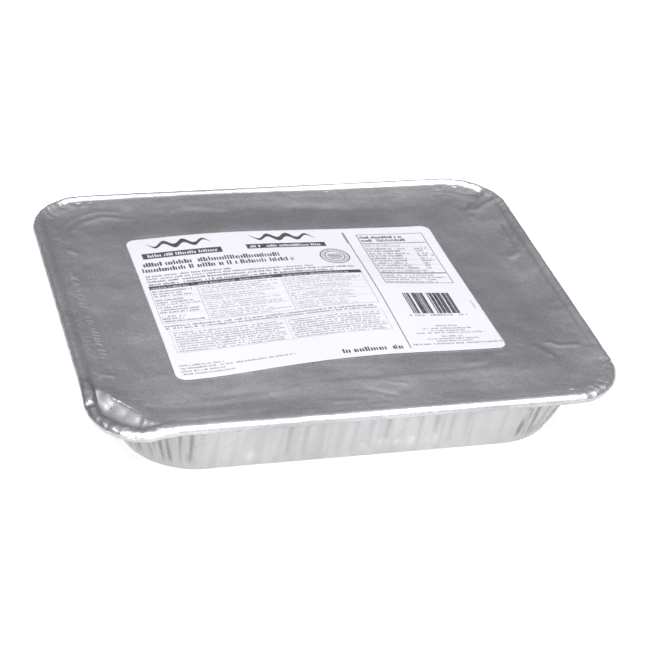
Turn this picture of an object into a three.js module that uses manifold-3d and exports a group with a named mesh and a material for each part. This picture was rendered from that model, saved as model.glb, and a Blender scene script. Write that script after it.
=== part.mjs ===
// A half-size foil tray meal, shut: a fluted aluminium tray filled to its flange, a foil lid
// whose edge is crimped round the flange, and a paper label stuck on the lid.
//
// Millimetres, +Z up. The origin is the middle of the base, on the surface the tray stands on.
// X runs along the tray's length, Y across it, and the label reads from the -Y side.

import * as THREE from "three";
import { mergeVertices } from "three/addons/utils/BufferGeometryUtils.js";
import Module from "manifold-3d";

// ---------------------------------------------------------------- driving dimensions

const HEIGHT = 47; // base to the top of the rim's bead
const RIM = { length: 324, width: 264, corner: 38 }; // plan over the crimped rim
const WALL_TOP = { length: 298, width: 238, corner: 38 }; // plan of the walls under the flange
const BASE = { length: 270, width: 221, corner: 43 }; // plan of the walls at the base

const BEAD_WIDTH = 8; // the rolled bead along the rim
const BEAD_HEIGHT = 1.8; // the bead's top above the flange
const SKIRT = 3.4; // the bead's top above the lower edge of the crimp
const FLANGE_SHEET = 1.2; // the tray's flange, with its folds
const SHOULDER = 3.2; // the lid's slope from the flange down to its panel, in plan

const BASE_EDGE = 1.2; // bevel between the base and the walls
const BASE_BORDER = 13; // flat border that the tray stands on
const BASE_RECESS = 1.2; // how far the middle of the base is raised

const FLUTE_DEPTH = 1.1; // out and in of a flute on the straight walls
const PLEAT_DEPTH = 1.5; // out and in of the corners' finer pleats
const FLUTES_ON_LENGTH = 18; // as many as fit on the side, those of its plain ends counted in
const FLUTES_ON_WIDTH = 13;
const PLAIN_END = 20; // left without flutes at each end of a side
const PLEATS_ON_CORNER = 12;

const LID_SHEET = 0.5; // the lid's foil, with its folds
const LIP_REACH = 5.5; // how far the crimp is folded in under the flange
const LIP_PLEAT = 0.4; // in and out of the crimp's pleats at the corners
const PANEL_LEVEL = 43.2; // the lid's panel along its edge

// Where the uneven filling lifts the lid's panel or lets it sink, most of all in the middle of
// each swell and fading over its reaches.
const SWELLS = [
  { x: 25, y: -7, reachX: 60, reachY: 69, lift: 5.2 },
  { x: -50, y: 55, reachX: 59, reachY: 66, lift: 3.5 },
  { x: 5, y: -111, reachX: 70, reachY: 59, lift: 3.3 },
  { x: -95, y: -105, reachX: 45, reachY: 53, lift: -4 },
  { x: 100, y: 40, reachX: 100, reachY: 78, lift: -2.5 },
];
const SWELL_EDGE = 3; // how steeply the swells begin inside the panel's edge

const LABEL = { length: 206, width: 152, corner: 6 };
const LABEL_SHEET = 0.3;
const LABEL_MIDDLE = new THREE.Vector2(-2.5, 0.8);
const LABEL_TURN = THREE.MathUtils.degToRad(1);

const GAP = 0.3; // left between two pieces that touch

// ---------------------------------------------------------------- plan outlines

// A rounded rectangle is walked anticlockwise in four quarters, each a side and the bend after
// it. A station is a place on that walk: `t` from 0 to 1 along its side or round its bend, with
// `fold` +1 or -1 by turns, for what stands out and in.
function stationsOf({ onWidth, onLength, onBend }) {
  const stations = [];
  const walk = (quarter, bend, steps) => {
    for (let i = 0; i < steps; i++) {
      stations.push({ quarter, bend, t: i / steps, fold: stations.length % 2 ? -1 : 1 });
    }
  };
  for (let quarter = 0; quarter < 4; quarter++) {
    walk(quarter, false, quarter % 2 ? onLength : onWidth);
    walk(quarter, true, onBend);
  }
  return stations;
}

// The straight lengths of a rounded rectangle's sides.
const straightsOf = ({ length, width, corner }) => ({
  length: length - 2 * corner,
  width: width - 2 * corner,
});

// Where a station lies on a rounded rectangle, and which way is out there. What a side has beyond
// its `held` length belongs to the bends, so that outlines that hold the same lengths have their
// stations in line along the sides and fanned round the corners.
function placeOf({ quarter, bend, t }, outline, held = straightsOf(outline)) {
  const straights = straightsOf(outline);
  const [side, next] = quarter % 2 ? ["length", "width"] : ["width", "length"];
  const reach = outline[next] / 2;
  const { corner } = outline;
  const point = new THREE.Vector2(reach, held[side] * (t - 0.5));
  const normal = new THREE.Vector2(1, 0);
  if (bend) {
    const before = (straights[side] - held[side]) / 2;
    const after = (straights[next] - held[next]) / 2;
    const arc = (corner * Math.PI) / 2;
    const gone = t * (before + arc + after);
    const angle = THREE.MathUtils.clamp((gone - before) / corner, 0, Math.PI / 2);
    normal.set(Math.cos(angle), Math.sin(angle));
    point.set(reach - corner, straights[side] / 2).addScaledVector(normal, corner);
    point.x -= Math.max(gone - before - arc, 0);
    point.y -= Math.max(before - gone, 0);
  }
  const middle = new THREE.Vector2();
  const turn = (quarter * Math.PI) / 2;
  return { point: point.rotateAround(middle, turn), normal: normal.rotateAround(middle, turn) };
}

const LEAST_CORNER = 10;

// An outline with every side moved in by `by`.
const inset = (outline, by) => ({
  length: outline.length - 2 * by,
  width: outline.width - 2 * by,
  corner: Math.max(outline.corner - by, Math.min(LEAST_CORNER, outline.corner)),
});

// ---------------------------------------------------------------- lofting

// One ring of points: the stations on an outline, moved out by `swell`, at a level or on a surface.
function ringOf(stations, outline, level, { held, swell = () => 0 } = {}) {
  return stations.map((station) => {
    const { point, normal } = placeOf(station, outline, held);
    point.addScaledVector(normal, swell(station));
    const z = typeof level === "function" ? level(point.x, point.y) : level;
    return new THREE.Vector3(point.x, point.y, z);
  });
}

function middleOf(ring) {
  const sum = ring.reduce((total, point) => total.add(point), new THREE.Vector3());
  return sum.divideScalar(ring.length);
}

// A closed surface through rings of equally many points, from the middle of the first ring, which
// faces down, to the middle of the last one, which faces up. A four-sided face is split along its
// higher diagonal, so that surfaces that follow one another are split alike.
function loft(rings) {
  const count = rings[0].length;
  const points = [...rings.flat(), middleOf(rings[0]), middleOf(rings.at(-1))];
  const top = (rings.length - 1) * count;
  const lowMiddle = top + count;
  const highMiddle = lowMiddle + 1;
  const faces = [];
  const addQuad = (a, b, c, d) => {
    const rising = points[a].z + points[c].z >= points[b].z + points[d].z;
    faces.push(...(rising ? [a, b, c, a, c, d] : [a, b, d, b, c, d]));
  };
  for (let j = 0; j < count; j++) {
    const next = (j + 1) % count;
    faces.push(lowMiddle, next, j);
    for (let low = 0; low < top; low += count) {
      addQuad(low + j, low + next, low + count + next, low + count + j);
    }
    faces.push(highMiddle, top + j, top + next);
  }
  const geometry = new THREE.BufferGeometry().setFromPoints(points);
  geometry.setIndex(faces);
  geometry.computeVertexNormals();
  return geometry;
}

// ---------------------------------------------------------------- joining

const manifold = await Module();
manifold.setup();

function solidOf(geometry) {
  const bare = new THREE.BufferGeometry();
  bare.setAttribute("position", geometry.getAttribute("position"));
  bare.setIndex(geometry.getIndex());
  const merged = mergeVertices(bare);
  const vertProperties = merged.getAttribute("position").array;
  const triVerts = new Uint32Array(merged.getIndex().array);
  return new manifold.Manifold(new manifold.Mesh({ numProp: 3, vertProperties, triVerts }));
}

function joined(first, second) {
  const mesh = solidOf(first).add(solidOf(second)).getMesh();
  const geometry = new THREE.BufferGeometry();
  geometry.setAttribute("position", new THREE.BufferAttribute(mesh.vertProperties, 3));
  geometry.setIndex(new THREE.BufferAttribute(mesh.triVerts, 1));
  geometry.computeVertexNormals();
  return geometry;
}

// ---------------------------------------------------------------- shared sections

const FLANGE_LEVEL = HEIGHT - BEAD_HEIGHT; // the lid's top beside the bead
const PANEL = inset(WALL_TOP, SHOULDER);
const PANEL_RINGS = [0, 10, 24, 40, 60, 82, 104].map((by) => inset(PANEL, by));
const UNDER_LID = LID_SHEET + GAP; // the tray's top below the lid's

// Height of the lid's panel over the plan: level along its edge, and uneven inside it.
function panelLevel(x, y) {
  const fade = (across, half) => Math.max(0, Math.min(1, SWELL_EDGE * (1 - (across / half) ** 2)));
  const inside = fade(x, PANEL.length / 2) * fade(y, PANEL.width / 2);
  const rise = ({ x: middleX, y: middleY, reachX, reachY, lift }) =>
    lift * Math.exp(-(((x - middleX) / reachX) ** 2) - ((y - middleY) / reachY) ** 2);
  return PANEL_LEVEL + inside * SWELLS.reduce((total, swell) => total + rise(swell), 0);
}

// The rim's bead from the rim's edge inwards, at a depth below its outer surface, as pairs of an
// outline and a level.
function beadOf(depth) {
  const steps = 5;
  const arc = [];
  for (let i = 0; i <= steps; i++) {
    const angle = (Math.PI * i) / steps;
    const by = BEAD_WIDTH / 2 - (BEAD_WIDTH / 2 - depth) * Math.cos(angle);
    arc.push([inset(RIM, by), FLANGE_LEVEL - depth + BEAD_HEIGHT * Math.sin(angle)]);
  }
  return arc;
}

const rimStations = stationsOf({ onWidth: 6, onLength: 8, onBend: 8 });

// The rings of a piece that follows the rim, from outlines and levels.
const rimRings = (section) => section.map((step) => ringOf(rimStations, ...step));

// The rings of the lid's panel at a depth below its top, from its edge to its middle.
const panelRings = (depth) =>
  PANEL_RINGS.map((outline) => ringOf(rimStations, outline, (x, y) => panelLevel(x, y) - depth));

// ---------------------------------------------------------------- tray

const FLANGE_UNDER = FLANGE_LEVEL - UNDER_LID - FLANGE_SHEET;
const LIP_UNDER = HEIGHT - SKIRT;
const FLANGE_ROOT = 8; // how far the flange's solid reaches down inside the walls
const ROOT_LAP = 2; // how far the walls' solid reaches up into that
const FLUTE_END = 1; // how far under the flange the flutes run out

// The walls: fluted along the sides, with finer pleats fanned round the corners.
function wallsOf() {
  const stations = stationsOf({
    onWidth: 2 * FLUTES_ON_WIDTH,
    onLength: 2 * FLUTES_ON_LENGTH,
    onBend: 2 * PLEATS_ON_CORNER,
  });
  const held = straightsOf(BASE);
  const plain = { held };
  const depthAt = ({ quarter, bend, t }) => {
    const side = held[quarter % 2 ? "length" : "width"];
    const fromEnd = side * Math.min(t, 1 - t);
    if (bend) return PLEAT_DEPTH;
    return fromEnd > PLAIN_END ? FLUTE_DEPTH : 0;
  };
  const fluted = { held, swell: (station) => (station.fold * depthAt(station)) / 2 };
  return loft([
    ringOf(stations, inset(BASE, BASE_BORDER + BASE_RECESS), BASE_RECESS, plain),
    ringOf(stations, inset(BASE, BASE_BORDER), 0, plain),
    ringOf(stations, inset(BASE, BASE_EDGE), 0, plain),
    ringOf(stations, BASE, 2 * BASE_EDGE, fluted),
    ringOf(stations, WALL_TOP, FLANGE_UNDER - FLUTE_END, fluted),
    ringOf(stations, WALL_TOP, FLANGE_UNDER - FLUTE_END / 2, plain),
    ringOf(stations, WALL_TOP, FLANGE_UNDER + FLANGE_SHEET / 2, plain),
    ringOf(stations, PANEL, FLANGE_UNDER - FLANGE_SHEET, plain),
    ringOf(stations, inset(PANEL, SHOULDER), FLANGE_UNDER - FLANGE_ROOT + ROOT_LAP, plain),
  ]);
}

// The flange, rolled up under the lid's bead, and the filling's top close under the lid.
function flangeOf() {
  const underside = [
    [inset(PANEL, ROOT_LAP), FLANGE_UNDER - FLANGE_ROOT],
    [inset(WALL_TOP, FLANGE_SHEET / 2), FLANGE_UNDER],
    [inset(RIM, BEAD_WIDTH + 1), FLANGE_UNDER],
    [inset(RIM, LIP_REACH + 1), LIP_UNDER + UNDER_LID],
    [inset(RIM, UNDER_LID), LIP_UNDER + UNDER_LID],
  ];
  const top = [...beadOf(UNDER_LID).slice(1), [WALL_TOP, FLANGE_LEVEL - UNDER_LID]];
  return loft([...rimRings(underside), ...rimRings(top), ...panelRings(UNDER_LID)]);
}

// ---------------------------------------------------------------- lid

// The lid's foil: its underside from the middle out, the crimp turned in under the flange, and
// back over the bead to the middle of the panel.
function lidOf() {
  const pleated = { swell: ({ bend, fold }) => (bend ? (fold * LIP_PLEAT) / 2 : 0) };
  const crimp = [
    [inset(RIM, LID_SHEET), LIP_UNDER + LID_SHEET],
    [inset(RIM, LIP_REACH), LIP_UNDER + LID_SHEET, pleated],
    [inset(RIM, LIP_REACH), LIP_UNDER, pleated],
    [inset(RIM, LID_SHEET), LIP_UNDER],
    [RIM, LIP_UNDER + LID_SHEET],
  ];
  return loft([
    ...panelRings(LID_SHEET).toReversed(),
    ...rimRings([[WALL_TOP, FLANGE_LEVEL - LID_SHEET]]),
    ...rimRings(beadOf(LID_SHEET).toReversed()),
    ...rimRings(crimp),
    ...rimRings(beadOf(0)),
    ...rimRings([[WALL_TOP, FLANGE_LEVEL]]),
    ...panelRings(0),
  ]);
}

// ---------------------------------------------------------------- label

// The label lies on the panel and follows its swells.
function labelOf() {
  const stations = stationsOf({ onWidth: 8, onLength: 10, onBend: 3 });
  const outlines = [0, 10, 22, 36, 52, 70].map((by) => inset(LABEL, by));
  const levelUnder = (x, y) => {
    const place = new THREE.Vector2(x, y).rotateAround(new THREE.Vector2(), LABEL_TURN);
    place.add(LABEL_MIDDLE);
    return panelLevel(place.x, place.y);
  };
  const sheet = (outline, lift) =>
    ringOf(stations, outline, (x, y) => levelUnder(x, y) + lift);
  return loft([
    ...outlines.toReversed().map((outline) => sheet(outline, GAP)),
    ...outlines.map((outline) => sheet(outline, GAP + LABEL_SHEET)),
  ]);
}

// ---------------------------------------------------------------- the meal

function piece(name, geometry, color, roughness, metalness) {
  const material = new THREE.MeshStandardMaterial({ color, roughness, metalness });
  const mesh = new THREE.Mesh(geometry, material);
  mesh.name = name;
  return mesh;
}

const tray = piece("tray", joined(wallsOf(), flangeOf()), 0xd6d8da, 0.32, 1);
const lid = piece("lid", lidOf(), 0x9a9a9d, 0.36, 1);
const label = piece("label", labelOf(), 0xf0eff6, 0.55, 0);
label.position.set(LABEL_MIDDLE.x, LABEL_MIDDLE.y, 0);
label.rotation.z = LABEL_TURN;

const meal = new THREE.Group();
meal.add(tray, lid, label);

export default meal;
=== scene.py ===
"""A foil tray meal: a fluted aluminium tray, a foil lid crimped round its rim, and a paper label.

The three pieces stand for the CAD parts tray, lid and label, and lie where those lie. The origin
is the middle of the base, X runs along the tray and the label reads from the -Y side. Tables
below are in millimetres, and MM turns them into Blender's metres.
"""

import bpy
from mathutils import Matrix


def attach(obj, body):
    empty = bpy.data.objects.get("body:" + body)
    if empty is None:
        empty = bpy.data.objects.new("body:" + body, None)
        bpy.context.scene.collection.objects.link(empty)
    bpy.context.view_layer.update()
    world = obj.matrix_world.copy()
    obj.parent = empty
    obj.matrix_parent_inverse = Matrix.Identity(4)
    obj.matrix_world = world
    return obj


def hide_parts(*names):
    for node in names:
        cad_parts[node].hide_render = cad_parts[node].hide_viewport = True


bl_info = {
    "name": "Foil tray meal",
    "version": (1, 0, 0),
    "blender": (4, 5, 0),
    "location": "View3D > Sidebar > Foil tray meal",
    "description": "Models a shut foil tray meal and its studio",
    "category": "Object",
}

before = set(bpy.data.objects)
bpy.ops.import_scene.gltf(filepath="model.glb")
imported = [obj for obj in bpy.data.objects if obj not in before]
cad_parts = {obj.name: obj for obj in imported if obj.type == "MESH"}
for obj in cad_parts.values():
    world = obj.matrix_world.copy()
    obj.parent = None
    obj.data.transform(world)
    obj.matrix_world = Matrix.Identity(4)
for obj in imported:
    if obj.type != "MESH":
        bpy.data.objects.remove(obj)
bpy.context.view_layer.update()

import math
import random
from functools import partial
from typing import NamedTuple

import bmesh
import bpy
import numpy as np
from bpy.props import FloatProperty, FloatVectorProperty, PointerProperty
from bpy.types import NodeSocket, Operator, Panel, PropertyGroup
from mathutils import Matrix, Vector, noise

MM = 0.001
HAIR = 0.04
SAME = 1e-6


# ---------------------------------------------------------------- outlines and levels

LEAST_CORNER = 10


class Outline(NamedTuple):
    """A rectangle with round corners, round the origin."""

    length: float
    width: float
    corner: float

    def inset(self, by):
        corner = max(self.corner - by, min(LEAST_CORNER, self.corner))
        return Outline(self.length - 2 * by, self.width - 2 * by, corner)

    @property
    def core(self):
        """Half the length and width of the straight-sided core that its corners are round."""
        return self.length / 2 - self.corner, self.width / 2 - self.corner


class Steps(NamedTuple):
    """How many edges an outline has along a long side, a short side and a corner."""

    on_length: int
    on_width: int
    on_corner: int


RIM = Outline(324, 264, 38)
WALL_TOP = Outline(298, 238, 38)
BASE = Outline(270, 221, 43)
PANEL = WALL_TOP.inset(3.2)
LABEL = Outline(206, 152, 6)

BEAD_WIDTH = 8
BEAD_HEIGHT = 1.8
FLANGE_LEVEL = 45.2
LIP_LEVEL = 43.6
FLANGE_UNDER = 43.2
PANEL_LEVEL = 43.2
WALL_FOOT = 2.4
WALL_HEAD = 42.2

LABEL_PLACE = (-2.5, 0.8)
LABEL_TURN = 1.0

# Where the filling lifts the lid or lets it sink: middle, reaches and lift.
SWELLS = (
    (25, -7, 60, 69, 5.2),
    (-50, 55, 59, 66, 3.5),
    (5, -111, 70, 59, 3.3),
    (-95, -105, 45, 53, -4.0),
    (100, 40, 100, 78, -2.5),
    (105, -100, 48, 36, 2.0),
    (15, 108, 95, 13, -0.9),
)


def swell(x, y):
    """How far the filling lifts the lid's panel."""
    lifts = (
        lift * hump(x, at_x, reach_x) * hump(y, at_y, reach_y)
        for at_x, at_y, reach_x, reach_y, lift in SWELLS
    )
    return (1 - rim_share(depth_inside(RIM, x, y), facing_back(x, y))) * sum(lifts)


def bead(depth, steps, height=BEAD_HEIGHT):
    """Outlines and levels over the rim's bead, from outside in, at a depth under its surface."""
    arc = []
    for index in range(steps + 1):
        angle = math.pi * index / steps
        by = BEAD_WIDTH / 2 - (BEAD_WIDTH / 2 - depth) * math.cos(angle)
        arc.append((RIM.inset(by), FLANGE_LEVEL - depth + height * math.sin(angle)))
    return arc


def depth_inside(outline, x, y):
    """How far a place lies inside an outline, less than nothing outside it."""
    over_x = np.abs(x) - outline.length / 2 + outline.corner
    over_y = np.abs(y) - outline.width / 2 + outline.corner
    outside = np.hypot(np.maximum(over_x, 0), np.maximum(over_y, 0))
    return outline.corner - outside - np.minimum(np.maximum(over_x, over_y), 0)


def smooth(low, high, value):
    """Eases from 0 at the low value to 1 at the high one."""
    share = np.clip((value - low) / (high - low), 0, 1)
    return share * share * (3 - 2 * share)


def plateau(rise, full, fall, end, value):
    """Eases from 0 up to 1, and down to 0 again."""
    return smooth(rise, full, value) * (1 - smooth(fall, end, value))


def hump(value, middle, reach):
    """1 in the middle, and softly down to 0 on both sides."""
    return np.exp(-(((value - middle) / reach) ** 2))


# ---------------------------------------------------------------- modelling


def begin(name):
    """Starts an empty mesh in edit mode."""
    bpy.ops.object.select_all(action="DESELECT")
    bpy.ops.mesh.primitive_plane_add(size=1)
    piece = bpy.context.object
    piece.name = name
    piece.data.name = name
    bpy.ops.object.mode_set(mode="EDIT")
    bpy.ops.mesh.select_mode(type="VERT")
    bpy.ops.mesh.delete(type="VERT")
    return piece


def divide_side(piece, axis, side, level, count):
    """Divides the two bare edges that run a whole side long."""
    bpy.ops.mesh.select_all(action="DESELECT")
    shape = bmesh.from_edit_mesh(piece.data)
    for edge in shape.edges:
        start, end = (vertex.co for vertex in edge.verts)
        along = abs(start[axis] - end[axis])
        if not edge.link_faces and abs(along - side) < 2 * SAME and abs(start.z - level) < SAME:
            edge.select_set(True)
    bmesh.update_edit_mesh(piece.data)
    bpy.ops.mesh.subdivide(number_cuts=1)
    bpy.ops.mesh.subdivide(number_cuts=count // 2 - 1)


def add_outline(piece, outline, level, steps):
    """Adds a closed line along an outline, evenly divided on its sides and corners."""
    length, width, corner, level = (value * MM for value in (*outline, level))
    bpy.ops.mesh.select_all(action="DESELECT")
    bpy.ops.mesh.primitive_plane_add(size=1, location=(0, 0, level))
    bpy.ops.transform.resize(value=(length, width, 1), center_override=(0, 0, level))
    bpy.ops.mesh.bevel(
        affect="VERTICES",
        offset_type="OFFSET",
        offset=corner,
        segments=steps.on_corner,
        clamp_overlap=False,
    )
    bpy.ops.mesh.delete(type="ONLY_FACE")
    divide_side(piece, 0, length - 2 * corner, level, steps.on_length)
    divide_side(piece, 1, width - 2 * corner, level, steps.on_width)


def select_open_edges():
    bpy.ops.mesh.select_all(action="DESELECT")
    bpy.ops.mesh.select_non_manifold(
        use_wire=True,
        use_boundary=True,
        use_multi_face=False,
        use_non_contiguous=False,
        use_verts=False,
    )


def close_in(shares, level):
    """Extrudes the open edge inwards, to shares of its size, and closes the middle."""
    select_open_edges()
    size = 1
    for share in shares:
        ratio = share / size
        bpy.ops.mesh.extrude_region_move()
        bpy.ops.transform.resize(value=(ratio, ratio, 1), center_override=(0, 0, level * MM))
        size = share
    bpy.ops.mesh.merge(type="CENTER")


def loft(piece, sections, steps):
    """Carries the open edge on through outlines and levels, some after a number of cuts.

    Two outlines on the very same level would be bridged the wrong way round, so they are kept a
    hair apart.
    """
    last = None
    for outline, level, *cuts in sections:
        if last is not None and abs(level - last) < HAIR:
            level = last + HAIR
        last = level
        add_outline(piece, outline, level, steps)
        select_open_edges()
        bpy.ops.mesh.bridge_edge_loops(number_cuts=sum(cuts), interpolation="LINEAR")


def mark(piece, name):
    """Marks all that is there so far, to tell it from what is added later."""
    shape = bmesh.from_edit_mesh(piece.data)
    layer = shape.verts.layers.int.new(name)
    for vertex in shape.verts:
        vertex[layer] = 1
    bmesh.update_edit_mesh(piece.data)


def end_edit(piece):
    """Leaves edit mode with all faces pointing outwards."""
    bpy.ops.mesh.select_all(action="SELECT")
    bpy.ops.mesh.normals_make_consistent(inside=False)
    if bmesh.from_edit_mesh(piece.data).calc_volume(signed=True) < 0:
        bpy.ops.mesh.flip_normals()
    bpy.ops.object.mode_set(mode="OBJECT")


def note(piece, name, values):
    """Stores a number at each vertex, which a material can read."""
    piece.data.attributes.new(name, "FLOAT", "POINT")
    piece.data.attributes[name].data.foreach_set("value", np.asarray(values, dtype=np.float32))


def places(piece):
    """The vertices' places in millimetres, one row each."""
    flat = np.empty(len(piece.data.vertices) * 3)
    piece.data.vertices.foreach_get("co", flat)
    return flat.reshape(-1, 3) / MM


def marked(piece, name):
    values = np.empty(len(piece.data.vertices), dtype=np.int32)
    piece.data.attributes[name].data.foreach_get("value", values)
    return values == 1


def displace(piece, direction, distances):
    """Displaces the vertices one way by distances in millimetres, through a weighted group."""
    least = float(distances.min())
    reach = float(distances.max()) - least
    group = piece.vertex_groups.new(name="weights")
    for index, weight in enumerate((distances - least) / reach):
        group.add((index,), float(weight), "REPLACE")
    for name, strength, weights in (("relief", reach, group.name), ("level", least, "")):
        modifier = piece.modifiers.new(name, "DISPLACE")
        modifier.direction = direction
        modifier.mid_level = 0
        modifier.strength = strength * MM
        modifier.vertex_group = weights
        bpy.ops.object.modifier_apply(modifier=name)
    piece.vertex_groups.remove(piece.vertex_groups["weights"])


def finish_piece(piece, material, node):
    """Shades a piece, gives it its material, and puts it in its CAD part's place."""
    bpy.ops.object.select_all(action="DESELECT")
    piece.select_set(True)
    bpy.context.view_layer.objects.active = piece
    bpy.ops.object.shade_smooth()
    piece.data.materials.append(material)
    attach(piece, "root")
    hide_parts(node)


# ---------------------------------------------------------------- relief

FOLD_END = 0.2
RISER_REACH = 2.6


def noise_at(points, size, seed, octaves=3):
    """Soft noise between about -1 and 1, in blobs of a size in millimetres."""
    shift = Vector((seed * 17.3, seed * 5.1, seed * 9.7))
    moved = (Vector(point) / size + shift for point in points)
    return np.array([noise.fractal(place, 1.0, 2.0, octaves) for place in moved])


def nearest(line, x, y):
    """How far places are from a line of points, on which side, and how far along it."""
    best = np.full(x.shape, np.inf)
    side = np.zeros(x.shape)
    share = np.zeros(x.shape)
    lengths = [math.dist(start, end) for start, end in zip(line, line[1:])]
    gone = 0
    for (start, end), length in zip(zip(line, line[1:]), lengths):
        way_x, way_y = (end[0] - start[0]) / length, (end[1] - start[1]) / length
        from_x, from_y = x - start[0], y - start[1]
        along = np.clip(from_x * way_x + from_y * way_y, 0, length)
        across = way_x * from_y - way_y * from_x
        away = np.hypot(from_x - along * way_x, from_y - along * way_y)
        closer = away < best
        best = np.where(closer, away, best)
        side = np.where(closer, np.sign(across), side)
        share = np.where(closer, (gone + along) / sum(lengths), share)
        gone += length
    return best, side, share


def ridge(width, height, line, x, y):
    """A fold along a line, running out at both its ends."""
    away, _, share = nearest(line, x, y)
    return height * plateau(0, FOLD_END, 1 - FOLD_END, 1, share) * hump(away, 0, width)


def riser(width, height, line, x, y):
    """A fold that stands up on the line's left and lies down on its right."""
    away, side, _ = nearest(line, x, y)
    return ridge(RISER_REACH * width, height, line, x, y) * side * np.tanh(away / width)


# ---------------------------------------------------------------- rim

# The crushed corner at the front left: how far in its fold lies, by the angle round the corner,
# and how high, steep and deep it is.
FOLD_ANGLES = (150, 162, 170, 180, 197, 222, 244, 255, 270)
FOLD_DEPTHS = (6, 8.3, 11, 14, 18.4, 19.7, 17.3, 15, 12)
FOLD_RISE = 2.1
FOLD_FRONT = 4.0
FOLD_BACK = 9.0
CRUSH_DROP = 4.0

# Between which angles the corner is pressed down, folded and crumpled, and where its edge gets
# painted shade.
PRESSED = (158, 200, 245, 285)
FOLDED = (156, 180, 240, 264)
CRUMPLED = (150, 175, 255, 300)
PAINTED_SHADE_ANGLES = (140, 158, 215, 250)

# How far in from the rim's edge it is pressed down, crumpled and smooth on its fold, how far in its
# edge gets painted shade, and the middle and reach of the painted shade in the gutter.
PRESSED_WITHIN = 7.5
CRUMPLED_WITHIN = (18, 28)
FACE_FROM = (6, 8.5)
PAINTED_SHADE_WITHIN = (6, 10)
SHADED_GUTTER = (8, 2.2)


def from_core(x, y):
    """Which way is out at the rim, from the straight-sided core that its corners are round."""
    half_x, half_y = RIM.core
    return x - np.clip(x, -half_x, half_x), y - np.clip(y, -half_y, half_y)


def facing_back(x, y):
    """1 along the back of the rim, -1 along its front, and 0 at its sides."""
    out_x, out_y = from_core(x, y)
    return out_y / np.maximum(np.hypot(out_x, out_y), SAME)


# The lid's profile over the rim at its front, sides and back: how far in its crest, its shoulder
# and the panel's edge lie, the share of its height that it falls before the shoulder, and how far
# and how suddenly it falls outside the crest.
FACINGS = (-1, 0, 1)
CREST = (6.0, 3.4, 0.8)
SHOULDER = (15, 10.5, 4.4)
PANEL_EDGE = (31, 31, 28)
EARLY_FALL = (0.3, 0.5, 0.5)
OUTER_FALL = (2.7, 2.2, 0.2)
OUTER_CURVE = (3.4, 2.2, 2)
RIM_TOP = 47
GROOVE_DEPTH = 0.28
GROOVE = (8.3, 0.9)


def rim_share(inside, back):
    """How much of the rim's height is left, from 1 on its crest to 0 on the panel."""
    rows = CREST, SHOULDER, PANEL_EDGE, EARLY_FALL
    crest, shoulder, edge, early = (np.interp(back, FACINGS, row) for row in rows)
    left = 1 - np.clip((inside - shoulder + 2) / (edge - shoulder + 2), 0, 1)
    return (1 - early) * left**1.7 + early * (1 - smooth(crest, shoulder, inside))


def top_level(inside, back):
    """Level of the lid over its rim, which rolls over at the front and stands up at the back."""
    crest, outer_fall, curve = (
        np.interp(back, FACINGS, row) for row in (CREST, OUTER_FALL, OUTER_CURVE)
    )
    level = PANEL_LEVEL + (RIM_TOP - PANEL_LEVEL) * rim_share(inside, back)
    level -= outer_fall * (np.maximum(crest - inside, 0) / crest) ** curve
    beside = 1 - smooth(0.3, 0.8, np.abs(back))
    return level - GROOVE_DEPTH * hump(inside, *GROOVE) * beside


def corner_angle(x, y):
    """Angle round the front left corner, carried on along the sides that it joins."""
    from_x = x + RIM.length / 2 - RIM.corner
    from_y = y + RIM.width / 2 - RIM.corner
    angle = np.degrees(np.arctan2(-from_y, -from_x))
    along = 180 / (math.pi * RIM.corner)
    angle = np.where(from_y > 0, -from_y * along, angle)
    return 180 + np.where((from_x > 0) & (from_y <= 0), 90 + from_x * along, angle)


def crush(x, y):
    """How far the crushed corner moves the rim, its crumples and smooth fold, and its painted light
    and shade.
    """
    angle = corner_angle(x, y)
    inside = depth_inside(RIM, x, y)
    fold = np.interp(angle, FOLD_ANGLES, FOLD_DEPTHS)
    folded = plateau(*FOLDED, angle)
    move = -CRUSH_DROP * plateau(*PRESSED, angle) * (1 - smooth(PRESSED_WITHIN, fold, inside))
    move += FOLD_RISE * folded * hump(inside, fold, np.where(inside < fold, FOLD_FRONT, FOLD_BACK))
    crushed = plateau(*CRUMPLED, angle) * (1 - smooth(*CRUMPLED_WITHIN, inside))
    face = folded * smooth(*FACE_FROM, inside) * (1 - smooth(fold, fold + 4, inside))
    # Painted shade at the corner's edge and in the gutter, and a painted highlight on the fold's
    # face.
    painted_light_and_shade = 0.55 * plateau(*PAINTED_SHADE_ANGLES, angle) * (1 - smooth(*PAINTED_SHADE_WITHIN, inside))
    painted_light_and_shade += 0.5 * crushed * hump(inside, *SHADED_GUTTER) - 0.5 * face
    crushed *= 1 - 0.9 * face
    near = (x < 0) & (y < 0)
    return tuple(np.where(near, values, 0) for values in (move, crushed, painted_light_and_shade, face))


# ---------------------------------------------------------------- lid relief

# Folds in the lid: width, height and the line that they follow. A riser stands up on its left.
RIDGES = (
    (1.6, 0.45, [(-150.5, -70.4), (-143.9, -69.5), (-137.8, -71.1)]),
    (2.6, 0.45, [(-142.9, 70.4), (-139.9, 90.3), (-130, 102.1), (-115, 107.9), (-95.3, 101.8)]),
    (2.2, 0.35, [(-147.9, 74.5), (-145.9, 93.5), (-134.9, 107.4), (-117.9, 114.4), (-98, 112.1)]),
    (2, 0.5, [(-144.9, 69.5), (-138, 64.2)]),
    (2.4, 0.8, [(135.6, 90.5), (145.2, 98.5), (156.7, 104.1)]),
    (2.5, 0.4, [(140.5, 31.1), (150.7, 37.3)]),
    (2, 0.55, [(126.2, -66.6), (135.2, -73.6), (150.2, -75.6)]),
    (2.2, -0.25, [(-0.7, -106.8), (9.8, -111.6), (20.2, -116.6)]),
    (2, 0.2, [(13.7, -101.4), (29.1, -105.2)]),
    (2.4, 0.3, [(63.8, -89.6), (79.3, -87.5), (89.6, -78.9), (104.9, -77.2)]),
    (2.6, 0.25, [(-29.9, -116.6), (0.2, -118.6)]),
)
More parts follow.
